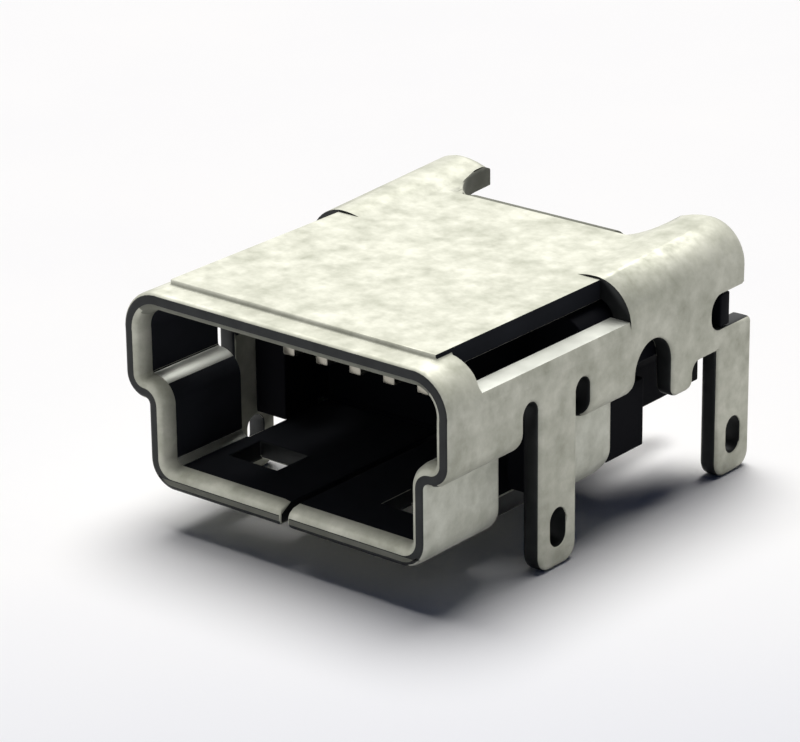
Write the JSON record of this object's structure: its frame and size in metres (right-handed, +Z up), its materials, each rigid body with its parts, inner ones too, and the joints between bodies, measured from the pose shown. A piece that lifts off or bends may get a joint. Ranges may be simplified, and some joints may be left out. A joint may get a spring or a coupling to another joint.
{
  "type": "charging port connector",
  "caption": "Small board-mounted charging socket: plated sheet shell with a stepped mouth and solder legs, black insulator with a tongue, and flat contacts with soldered tails.",
  "frame": {"origin": "middle of the footprint at the lower ends of the legs; the board's surface lies at the height of the leg drop", "axes": "+Z up from the board, +Y from the mouth to the rear, +X to the right seen from the mouth"},
  "size_m": [0.0078, 0.0094, 0.005],
  "materials": {
    "plated_sheet": "satin plated steel sheet with faint mottling",
    "black_plastic": "black moulded high-temperature plastic",
    "contact_metal": "thinly gilded copper alloy strip"
  },
  "bodies": {
    "root": {"shell": "plated_sheet", "insulator": "black_plastic", "contact_1": "contact_metal", "contact_2": "contact_metal", "contact_3": "contact_metal", "contact_4": "contact_metal", "contact_5": "contact_metal"}
  },
  "joints": []
}
